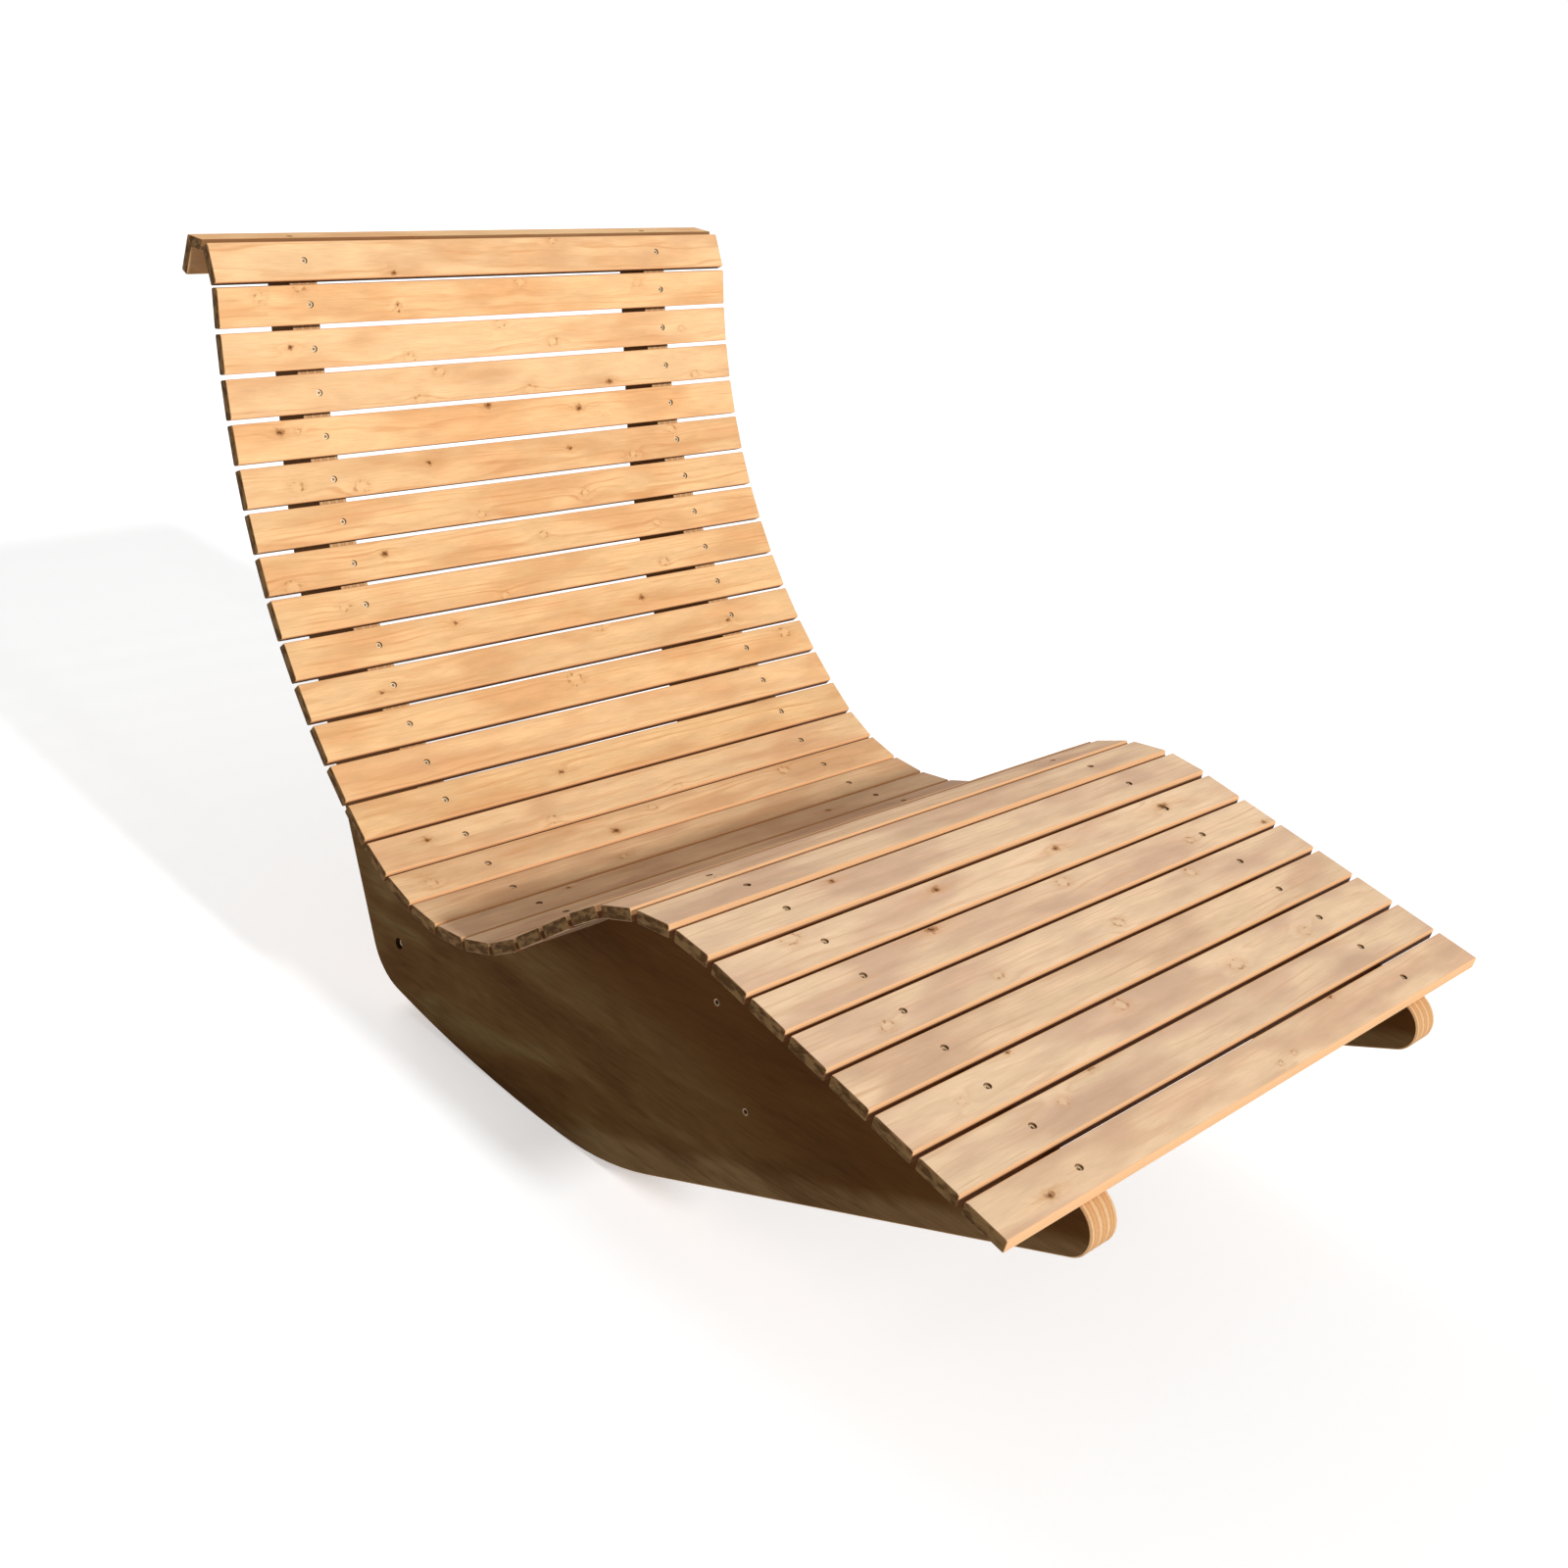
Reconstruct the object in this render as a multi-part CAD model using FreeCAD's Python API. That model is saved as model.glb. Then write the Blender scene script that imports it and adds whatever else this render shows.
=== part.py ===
import FreeCAD, Part
import math
import os

os.makedirs("parts", exist_ok=True)

# A rocking lounger: 35 flat slats screwed across two thick plywood cheeks,
# which a board under the knees and a rail at the heel hold apart.
# The profile is drawn in the X-Z plane, head at low X and feet at high X,
# and is turned onto its rest pose at the end. Lengths are mm, angles degrees.

# slats
slat_length = 900.0
slat_width = 55.0
slat_thickness = 16.0
slat_arris = 3.5
slat_count = 33            # on the lounging line, without the two at the head
slat_pitch = 62.13         # measured along the edge that they lie on

# cheeks
cheek_thickness = 42.0
slat_overhang = 115.5      # from a slat's end to the outer face of the cheek
cheek_arris = 2.0

# lounging line, from the second slat to the last, as tangent arcs
line_heading = -91.4
back_radius = 940.0
back_angle = 46.3
seat_radius = 314.0
seat_angle = 72.3
thigh_length = 133.5
knee_radius = 263.5
knee_angle = 49.0

# head end
head_bend = 17.3           # the top slat leans back this much from the next
head_gap = 1.0             # from the bend to each of the two slats
head_lip = 8.0             # the top slat stands past the cheek's corner
cap_tilt = 11.4            # the cap rises towards the back
cap_gap = 1.0
cap_seat = 34.0            # length of the cheek's top under the cap
back_slat_slope = 59.0     # the slat behind the head, below the horizontal

# lower and back edge of the cheek, from the toe round to the head
toe_margin = 17.0          # from the middle of the last slat to the toe's curve
toe_radius = 34.0
front_slope = 13.6
front_run = 680.0
bend_radius = 486.0
bend_angle = 21.5
rocker_radius = 2100.0
rocker_angle = 10.8
heel_radius = 86.0
spine_radius = 1100.0      # from the straight run above the heel into the upright
spine_drop = 211.0         # the upright ends this far below the second slat
spine_depth = 64.2         # and stands this far behind it

# countersunk slat screws, sunk a little below the face
screw_head = 8.0
screw_sink = 0.8
screw_shank = 4.5
screw_length = 45.0
head_screw_length = 30.0   # in the two head slats, whose screws would meet
screw_clearance = 0.25     # round the shank in the slat
screw_sides = 8            # seventy of them, so they are drawn eight-sided

# board under the knees, held by two screws at each end
board_width = 165.0
board_thickness = 21.0
board_screw_spacing = 129.0
board_screw_length = 80.0
board_lean = 19.4          # from upright, top towards the head
board_middle = 199.3       # down from the knee, square to the thigh line
board_forward = 33.5       # along the thigh line, past the start of the knee

# rail at the heel, held by one bolt at each end
rail_width = 70.0
rail_thickness = 45.0
rail_from_spine = 71.8     # from the line of the spine's straight edge to the bolt
rail_drop = 3.8            # the bolt is this far below the end of the heel's curve
bolt_head = 13.0
bolt_head_height = 8.0
bolt_socket = 6.0
bolt_socket_depth = 4.0
bolt_shank = 8.0
bolt_length = 100.0
bolt_counterbore = 17.0
bolt_counterbore_depth = 10.0
bolt_sides = 16

overshoot = 1.0            # cutters stand this far out of what they cut
match_tolerance = 0.1      # points this near each other are one

# the resting balance point tips the drawing foot end up
rest_tilt = 9.3

cheek_middle = slat_length / 2 - slat_overhang - cheek_thickness / 2
cheek_inner = cheek_middle - cheek_thickness / 2
cheek_outer = cheek_middle + cheek_thickness / 2


def direction(angle):
    return FreeCAD.Vector(math.cos(math.radians(angle)), 0, math.sin(math.radians(angle)))


def left_of(angle):
    return direction(angle + 90)


class Station:
    """A point of the profile with the heading of the line there."""

    def __init__(self, point, heading):
        self.point = point
        self.heading = heading

    def ahead(self, length):
        return Station(self.point + direction(self.heading) * length, self.heading)

    def turned(self, radius, turn):
        # a positive turn bends to the left, a negative one to the right
        side = math.copysign(radius, turn)
        centre = self.point + left_of(self.heading) * side
        heading = self.heading + turn
        return Station(centre - left_of(heading) * side, heading)

    def shifted(self, side):
        return Station(self.point + left_of(self.heading) * side, self.heading)


def along(start, runs, distance):
    """The station at a distance along a chain of (length, turn) runs."""
    place = start
    for length, turn in runs:
        step = min(distance, length)
        if turn == 0:
            place = place.ahead(step)
        else:
            radius = length / math.radians(abs(turn))
            place = place.turned(radius, turn * step / length)
        distance = distance - step
    return place.ahead(distance)


def arc_run(radius, turn):
    return (radius * math.radians(abs(turn)), turn)


lounging_line = [
    arc_run(back_radius, back_angle),
    arc_run(seat_radius, seat_angle),
    (thigh_length, 0),
    arc_run(knee_radius, -knee_angle),
]
line_start = Station(FreeCAD.Vector(0, 0, 0), line_heading)

# one seat per slat: the middle of the slat's underside and its heading
seats = []
for number in range(1, slat_count):
    seats.append(along(line_start, lounging_line, (number - 1) * slat_pitch))

bend = line_start.ahead(-slat_width / 2 - head_gap)
top_heading = line_heading + head_bend
top_seat = Station(bend.point, top_heading).ahead(-head_gap - slat_width / 2)
seats.insert(0, top_seat)

# the cheek's corner under the top slat, then its flats under the two head slats
top_corner = top_seat.ahead(head_lip - slat_width / 2)
cap_line = Station(top_corner.point, 180 - cap_tilt)
back_corner = cap_line.ahead(cap_seat)
back_line = Station(back_corner.point, 180 + back_slat_slope)

# lower edge, walked from the last slat round the toe and back to the heel
toe_start = seats[-1].ahead(toe_margin)
toe_turn = -(180 - front_slope + toe_start.heading)
toe_end = toe_start.turned(toe_radius, toe_turn)
front_end = toe_end.ahead(front_run)
bend_end = front_end.turned(bend_radius, -bend_angle)
rocker_end = bend_end.turned(rocker_radius, -rocker_angle)

# a straight run touches the heel's curve and the arc that leads into the upright
upright_foot = Station(FreeCAD.Vector(-spine_depth, 0, -spine_drop), 90)
spine_centre = upright_foot.shifted(-spine_radius).point
heel_centre = rocker_end.shifted(-heel_radius).point
between = spine_centre - heel_centre
radius_step = spine_radius - heel_radius
spine_run = math.sqrt(between.Length ** 2 - radius_step ** 2)
spine_slope = math.degrees(math.atan2(between.z, between.x) + math.atan2(radius_step, spine_run))
heel_turn = spine_slope - 360 - rocker_end.heading
spine_turn = 90 - spine_slope
heel_end = rocker_end.turned(heel_radius, heel_turn)
spine_start = heel_end.ahead(spine_run)
spine_end = spine_start.turned(spine_radius, spine_turn)

# the upright meets the line of the slat behind the head
reach = (spine_end.point.x - back_corner.point.x) / direction(back_line.heading).x
spine_top = back_line.ahead(reach)


def line(first, second):
    return Part.LineSegment(first.point, second.point).toShape()


def arc(first, radius, turn):
    middle = first.turned(radius, turn / 2)
    last = first.turned(radius, turn)
    return Part.Arc(first.point, middle.point, last.point).toShape()


def cheek_outline():
    # flats under the slats, joined by short straights across the gaps
    corners = [back_corner, top_corner]
    for seat in seats:
        if seat is not top_seat:
            corners.append(seat.ahead(-slat_width / 2))
        if seat is not seats[-1]:
            corners.append(seat.ahead(slat_width / 2))
    corners.append(toe_start)
    edges = []
    for first, second in zip(corners, corners[1:]):
        edges.append(line(first, second))
    edges.append(arc(toe_start, toe_radius, toe_turn))
    edges.append(line(toe_end, front_end))
    edges.append(arc(front_end, bend_radius, -bend_angle))
    edges.append(arc(bend_end, rocker_radius, -rocker_angle))
    edges.append(arc(rocker_end, heel_radius, heel_turn))
    edges.append(line(heel_end, spine_start))
    edges.append(arc(spine_start, spine_radius, spine_turn))
    edges.append(line(spine_end, spine_top))
    edges.append(line(spine_top, back_corner))
    return Part.Wire(edges)


def is_lower_edge(edge):
    # the eased lower arrises run along the outline from the toe to the head
    start = edge.valueAt(edge.FirstParameter)
    end = edge.valueAt(edge.LastParameter)
    if abs(start.y - end.y) > match_tolerance:
        return False
    stops = [toe_start, toe_end, front_end, bend_end, rocker_end, heel_end]
    stops = stops + [spine_start, spine_end, spine_top]
    for first, second in zip(stops, stops[1:]):
        for one, other in ((start, end), (end, start)):
            flat_one = FreeCAD.Vector(one.x, 0, one.z)
            flat_other = FreeCAD.Vector(other.x, 0, other.z)
            near_first = flat_one.distanceToPoint(first.point) < match_tolerance
            near_second = flat_other.distanceToPoint(second.point) < match_tolerance
            if near_first and near_second:
                return True
    return False


def make_cheek(middle):
    face = Part.Face(cheek_outline())
    cheek = face.extrude(FreeCAD.Vector(0, cheek_thickness, 0))
    cheek.translate(FreeCAD.Vector(0, middle - cheek_thickness / 2, 0))
    lower = [edge for edge in cheek.Edges if is_lower_edge(edge)]
    return cheek.makeChamfer(cheek_arris, lower)


def bar(corners, length, rounded):
    """A bar across the lounger. Two flats follow the rounding of each listed square corner."""
    points = []
    for index, corner in enumerate(corners):
        if corner not in rounded:
            points.append(corner)
            continue
        before = (corners[index - 1] - corner).normalize()
        after = (corners[(index + 1) % len(corners)] - corner).normalize()
        points.append(corner + before * slat_arris)
        points.append(corner + (before + after) * slat_arris * (1 - math.sqrt(0.5)))
        points.append(corner + after * slat_arris)
    wire = Part.makePolygon(points + [points[0]])
    solid = Part.Face(wire).extrude(FreeCAD.Vector(0, length, 0))
    solid.translate(FreeCAD.Vector(0, -length / 2, 0))
    return solid


def make_slat(seat):
    half = slat_width / 2
    low = [seat.ahead(-half).point, seat.ahead(half).point]
    top = seat.shifted(slat_thickness)
    high = [top.ahead(half).point, top.ahead(-half).point]
    return bar(low + high, slat_length, low + high)


def sided_solid(outline, sides, place, axis):
    """A many-sided solid through (diameter, depth) pairs, depth measured down the axis."""
    rings = []
    for diameter, depth in outline:
        ring = []
        for step in range(sides):
            corner = direction(360 * step / sides) * (diameter / 2)
            ring.append(FreeCAD.Vector(corner.x, corner.z, -depth))
        rings.append(ring)
    faces = [Part.Face(Part.makePolygon(rings[0] + [rings[0][0]]))]
    for upper, lower in zip(rings, rings[1:]):
        for step in range(sides):
            after = (step + 1) % sides
            corners = [upper[after], upper[step], lower[step]]
            if lower[step] != lower[after]:
                corners.append(lower[after])
            faces.append(Part.Face(Part.makePolygon(corners + [corners[0]])))
    if outline[-1][0] > 0:
        faces.append(Part.Face(Part.makePolygon(rings[-1] + [rings[-1][0]])))
    solid = Part.Solid(Part.Shell(faces))
    if solid.Volume < 0:
        solid.reverse()
    rotation = FreeCAD.Rotation(FreeCAD.Vector(0, 0, 1), axis)
    solid.Placement = FreeCAD.Placement(place, rotation)
    return solid


# a countersunk screw, with depth counted from the face that it is driven into
cone_end = screw_sink + (screw_head - screw_shank) / 2


def shank_outline(length):
    # the point is as long as the shank is thick
    tip = screw_sink + length
    return [(screw_shank, cone_end), (screw_shank, tip - screw_shank), (0, tip)]


def make_screw(face_point, axis, length, sides):
    outline = [(screw_head, screw_sink)] + shank_outline(length)
    return sided_solid(outline, sides, face_point, axis)


def screw_pilot(face_point, axis, length, sides):
    return sided_solid(shank_outline(length), sides, face_point, axis)


def screw_clearance_hole(face_point, axis, thickness, sides):
    # the cone is the head's own, carried up past the face
    outline = [
        (screw_head + 2 * (screw_sink + overshoot), -overshoot),
        (screw_shank + 2 * screw_clearance, cone_end - screw_clearance),
        (screw_shank + 2 * screw_clearance, thickness + overshoot),
    ]
    return sided_solid(outline, sides, face_point, axis)


def screws_through(seat, thickness):
    """Where the two slat screws enter a slat's face, and the way they point."""
    axis = left_of(seat.heading)
    face = seat.point + axis * thickness
    across = FreeCAD.Vector(0, cheek_middle, 0)
    return [(face + across, axis), (face - across, axis)]


parts = {}
screw_solids = []
left_pilots = []
right_pilots = []


def add_slat(name, solid, seat, length):
    holes = []
    for face_point, axis in screws_through(seat, slat_thickness):
        holes.append(screw_clearance_hole(face_point, axis, slat_thickness, screw_sides))
        screw_solids.append(make_screw(face_point, axis, length, screw_sides))
        pilot = screw_pilot(face_point, axis, length, screw_sides)
        if face_point.y > 0:
            left_pilots.append(pilot)
        else:
            right_pilots.append(pilot)
    parts[name] = solid.cut(holes)


for number, seat in enumerate(seats, 1):
    add_slat("slat_%02d" % number, make_slat(seat), seat, screw_length)

# the cap and the slat behind it are mitred where they meet
mitre_angle = (180 - cap_tilt + 180 + back_slat_slope) / 2 - 90
mitre_length = slat_thickness / math.cos(math.radians((back_slat_slope + cap_tilt) / 2))
mitre_inner = back_corner.point
mitre_outer = mitre_inner + direction(mitre_angle) * mitre_length

top_face_end = top_seat.ahead(-slat_width / 2).point
cap_setback = direction(cap_line.heading).dot(top_face_end - cap_line.point) + cap_gap
cap_front = cap_line.ahead(cap_setback)
cap_up = cap_front.point - left_of(cap_line.heading) * slat_thickness
cap_corners = [cap_front.point, cap_up, mitre_outer, mitre_inner]
cap_slat = bar(cap_corners, slat_length, [cap_front.point, cap_up])
cap_middle = cap_line.ahead((cap_setback + cap_seat) / 2)
cap_seat_station = Station(cap_middle.point, cap_line.heading + 180)
add_slat("head_cap_slat", cap_slat, cap_seat_station, head_screw_length)

mitre_slope = mitre_length * math.sin(math.radians((back_slat_slope + cap_tilt) / 2))
back_slat_end = back_line.ahead(slat_width - mitre_slope)
back_slat_out = back_slat_end.point - left_of(back_line.heading) * slat_thickness
back_corners = [mitre_inner, mitre_outer, back_slat_out, back_slat_end.point]
back_slat = bar(back_corners, slat_length, [back_slat_out, back_slat_end.point])
back_seat = Station(back_line.ahead(reach / 2).point, back_line.heading + 180)
add_slat("head_back_slat", back_slat, back_seat, head_screw_length)

# board under the knees
knee_start = along(line_start, lounging_line, 0)
for length, turn in lounging_line[:3]:
    if turn == 0:
        knee_start = knee_start.ahead(length)
    else:
        knee_start = knee_start.turned(length / math.radians(abs(turn)), turn)
board_centre = knee_start.shifted(-board_middle).ahead(board_forward).point
board_axis = Station(board_centre, 90 + board_lean)
board_corners = []
for end, side in ((-1, -1), (1, -1), (1, 1), (-1, 1)):
    corner = board_axis.ahead(end * board_width / 2).shifted(side * board_thickness / 2)
    board_corners.append(corner.point)
front_board = bar(board_corners, 2 * cheek_inner, [])

# rail at the heel
bolt_point = heel_end.ahead(-rail_drop).shifted(-rail_from_spine).point
rail_axis = Station(bolt_point, heel_end.heading)
rail_corners = []
for end, side in ((-1, -1), (1, -1), (1, 1), (-1, 1)):
    corner = rail_axis.ahead(end * rail_width / 2).shifted(side * rail_thickness / 2)
    rail_corners.append(corner.point)
heel_rail = bar(rail_corners, 2 * cheek_inner, rail_corners)

cheeks = {1: make_cheek(cheek_middle), -1: make_cheek(-cheek_middle)}
board_screws = []
rail_bolts = []
for side in (1, -1):
    outward = FreeCAD.Vector(0, side, 0)
    outer_face = outward * cheek_outer
    for end in (-1, 1):
        place = board_axis.ahead(end * board_screw_spacing / 2).point + outer_face
        board_screws.append(make_screw(place, outward, board_screw_length, bolt_sides))
        hole = screw_clearance_hole(place, outward, cheek_thickness, bolt_sides)
        cheeks[side] = cheeks[side].cut(hole)
        pilot = screw_pilot(place, outward, board_screw_length, bolt_sides)
        front_board = front_board.cut(pilot)
    place = bolt_point + outer_face
    seat_depth = bolt_counterbore_depth
    bolt_end = seat_depth + bolt_length
    head_top = seat_depth - bolt_head_height
    bolt_outline = [
        (bolt_head, head_top),
        (bolt_head, seat_depth),
        (bolt_shank, seat_depth),
        (bolt_shank, bolt_end),
    ]
    bolt = sided_solid(bolt_outline, bolt_sides, place, outward)
    socket_corners = bolt_socket * 2 / math.sqrt(3)
    socket = [(socket_corners, head_top - overshoot), (socket_corners, head_top + bolt_socket_depth)]
    rail_bolts.append(bolt.cut(sided_solid(socket, 6, place, outward)))
    counterbore = [(bolt_counterbore, -overshoot), (bolt_counterbore, seat_depth)]
    cheeks[side] = cheeks[side].cut(sided_solid(counterbore, bolt_sides, place, outward))
    shank_hole = [(bolt_shank, 0), (bolt_shank, bolt_end)]
    shank_cut = sided_solid(shank_hole, bolt_sides, place, outward)
    cheeks[side] = cheeks[side].cut(shank_cut)
    heel_rail = heel_rail.cut(shank_cut)

parts["cheek_left"] = cheeks[1].cut(left_pilots)
parts["cheek_right"] = cheeks[-1].cut(right_pilots)
parts["knee_board"] = front_board
parts["heel_rail"] = heel_rail
parts["slat_screws"] = Part.makeCompound(screw_solids)
parts["board_screws"] = Part.makeCompound(board_screws)
parts["rail_bolts"] = Part.makeCompound(rail_bolts)

# onto the rest pose: tip the foot end up, stand the rocker on the floor
tip = FreeCAD.Rotation(FreeCAD.Vector(0, -1, 0), rest_tilt)
rocker_centre = bend_end.point - left_of(bend_end.heading) * rocker_radius
floor_level = tip.multVec(rocker_centre).z - rocker_radius
toe_centre = toe_start.point - left_of(toe_start.heading) * toe_radius
front_limit = tip.multVec(toe_centre).x + toe_radius
last_corner = seats[-1].shifted(slat_thickness).ahead(slat_width / 2)
back_limit = min(v.x for v in [tip.multVec(p) for p in back_corners])
middle_x = (front_limit + back_limit) / 2
shift = FreeCAD.Vector(-middle_x, 0, -floor_level)

for name, shape in parts.items():
    shape.Placement = FreeCAD.Placement(shift, tip).multiply(shape.Placement)
    shape.exportStep("parts/" + name + ".step")
    box = shape.BoundBox
    print(name, len(shape.Solids), round(shape.Volume), shape.isValid(),
          round(box.XMin, 2), round(box.XMax, 2), round(box.ZMin, 2), round(box.ZMax, 2))
print("shift", shift, "contact heading", bend_end.heading)
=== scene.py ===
import math
import random

import bmesh
import bpy
from mathutils import Matrix, Vector


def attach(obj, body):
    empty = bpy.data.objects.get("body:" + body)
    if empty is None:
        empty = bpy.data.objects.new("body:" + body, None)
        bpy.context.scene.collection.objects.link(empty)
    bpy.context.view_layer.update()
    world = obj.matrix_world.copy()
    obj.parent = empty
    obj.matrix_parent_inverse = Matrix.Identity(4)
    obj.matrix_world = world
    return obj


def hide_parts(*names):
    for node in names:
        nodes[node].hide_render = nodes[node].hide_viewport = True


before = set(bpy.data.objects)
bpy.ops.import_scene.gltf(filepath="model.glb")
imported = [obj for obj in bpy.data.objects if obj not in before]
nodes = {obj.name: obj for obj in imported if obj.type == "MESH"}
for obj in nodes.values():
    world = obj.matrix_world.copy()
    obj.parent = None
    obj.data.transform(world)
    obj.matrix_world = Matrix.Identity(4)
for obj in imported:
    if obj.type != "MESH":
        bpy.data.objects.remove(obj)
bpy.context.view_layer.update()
mm = 0.001
samePoint = 0.01 * mm              # points nearer than this are one
draw = random.Random(33)
print("frame loaded:", len(nodes), "pieces")


# small tools

def colour(hexCode):
    # sRGB hex to the linear values that a shader takes
    parts = [int(hexCode[i:i + 2], 16) / 255 for i in (1, 3, 5)]
    parts = [p / 12.92 if p <= 0.04045 else ((p + 0.055) / 1.055) ** 2.4 for p in parts]
    return (*parts, 1.0)


def between(first, second, share):
    # a hex colour part of the way from one to another
    pairs = [(int(first[i:i + 2], 16), int(second[i:i + 2], 16)) for i in (1, 3, 5)]
    return "#%02x%02x%02x" % tuple(round(a + (b - a) * share) for a, b in pairs)


def add(tree, kind, *values, **named):
    # a shader node, given back as its first live output: values and links fill its live inputs
    # in turn, and names are settings (small letter) or inputs (capital, _ for a space)
    node = tree.nodes.new("ShaderNode" + kind)
    for name, value in named.items():
        if name[0].islower():
            setattr(node, name, value)
    live = [socket for socket in node.inputs if socket.enabled]
    byName = {socket.name.replace(" ", "_"): socket for socket in live}
    filled = list(zip(live, values))
    filled += [(byName[name], value) for name, value in named.items() if name[0].isupper()]
    for socket, value in filled:
        if isinstance(value, bpy.types.NodeSocket):
            tree.links.new(value, socket)
        else:
            socket.default_value = value
    return next((socket for socket in node.outputs if socket.enabled), None)


smooth = {"interpolation_type": "SMOOTHSTEP"}      # settings that many nodes share
ofColours = {"data_type": "RGBA"}


def newMaterial(name):
    material = bpy.data.materials.new(name)
    material.use_nodes = True
    material.node_tree.nodes.clear()
    return material, material.node_tree


def linked(name, data):
    thing = bpy.data.objects.new(name, data)
    bpy.context.scene.collection.objects.link(thing)
    return thing


def replacement(name, mesh, material, replaced, place=None):
    # a piece that stands for a CAD node and rides where it does
    mesh.materials.append(material)
    piece = linked(name, mesh)
    if place is not None:
        piece.matrix_world = place
    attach(piece, "root")
    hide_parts(replaced)
    return piece


def smoothUnder(mesh, degrees):
    # smooth shading, with edges sharper than this kept crisp
    work = bmesh.new()
    work.from_mesh(mesh)
    for face in work.faces:
        face.smooth = True
    limit = math.radians(degrees)
    for edge in work.edges:
        edge.smooth = len(edge.link_faces) == 2 and edge.calc_face_angle() < limit
    work.to_mesh(mesh)
    work.free()


def skinned(name, rings):
    # a closed skin through rings with the same number of points
    work = bmesh.new()
    rows = [[work.verts.new(point) for point in ring] for ring in rings]
    for low, high in zip(rows, rows[1:]):
        for i in range(len(low)):
            j = (i + 1) % len(low)
            work.faces.new((low[i], low[j], high[j], high[i]))
    work.faces.new(rows[0][::-1])
    work.faces.new(rows[-1])
    bmesh.ops.recalc_face_normals(work, faces=work.faces)
    mesh = bpy.data.meshes.new(name)
    work.to_mesh(mesh)
    work.free()
    return mesh


def turned(profile, sides, waist=None):
    # rings of a turned solid, from (radius, depth) pairs down -Z; waist varies a ring round it
    rings = []
    for index, (radius, depth) in enumerate(profile):
        ring = []
        for step in range(sides):
            angle = 2 * math.pi * step / sides
            reach = radius * mm * (waist(index, angle) if waist else 1)
            ring.append(Vector((reach * math.cos(angle), reach * math.sin(angle), -depth * mm)))
        rings.append(ring)
    return rings


def cutAway(piece, cutters):
    # takes the cutters out of the piece for good
    for cutter in cutters:
        cut = piece.modifiers.new("cut", "BOOLEAN")
        cut.operation = "DIFFERENCE"
        cut.solver = "EXACT"
        cut.object = cutter
    bpy.context.view_layer.update()
    graph = bpy.context.evaluated_depsgraph_get()
    mesh = bpy.data.meshes.new_from_object(piece.evaluated_get(graph))
    piece.modifiers.clear()
    old = piece.data
    piece.data = mesh
    bpy.data.meshes.remove(old)
    for cutter in cutters:
        bpy.data.objects.remove(cutter)


def shellsOf(node):
    # the separate solids in a node, each as its list of points
    work = bmesh.new()
    work.from_mesh(node.data)
    bmesh.ops.remove_doubles(work, verts=work.verts, dist=samePoint)
    met, shells = set(), []
    for first in work.verts:
        if first in met:
            continue
        met.add(first)
        shell, todo = [], [first]
        while todo:
            vert = todo.pop()
            shell.append(vert.co.copy())
            for edge in vert.link_edges:
                other = edge.other_vert(vert)
                if other not in met:
                    met.add(other)
                    todo.append(other)
        shells.append(shell)
    work.free()
    return shells


# camera, at the photograph's viewpoint

view = {
    "place": (1.5989, -1.590, 1.4081),
    "right": (0.6948, 0.7136, 0.0896),
    "down": (0.2873, -0.1610, -0.9442),
    "forward": (-0.6594, 0.6818, -0.3169),
    "lens": 41.61, "sensor": 36,
    "shift": (-0.0298, -0.0993),
    "farthest": 200,
}

lens = bpy.data.cameras.new("camera")
lens.lens = view["lens"]
lens.sensor_width = view["sensor"]
lens.shift_x, lens.shift_y = view["shift"]
lens.clip_end = view["farthest"]
camera = linked("camera", lens)
axes = [view["right"], [-v for v in view["down"]], [-v for v in view["forward"]]]
camera.matrix_world = Matrix.Translation(view["place"]) @ Matrix(axes).transposed().to_4x4()
bpy.context.scene.camera = camera
print("camera placed")


# Spruce, planed and glazed in honey: soft uneven lines along the board that give way round
# small knots, warmer where the glaze is thick, satin, with darker ends. Warmer edges and paler
# feet are painted light; darker gaps, undersides and countersinks are painted shade.

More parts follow.
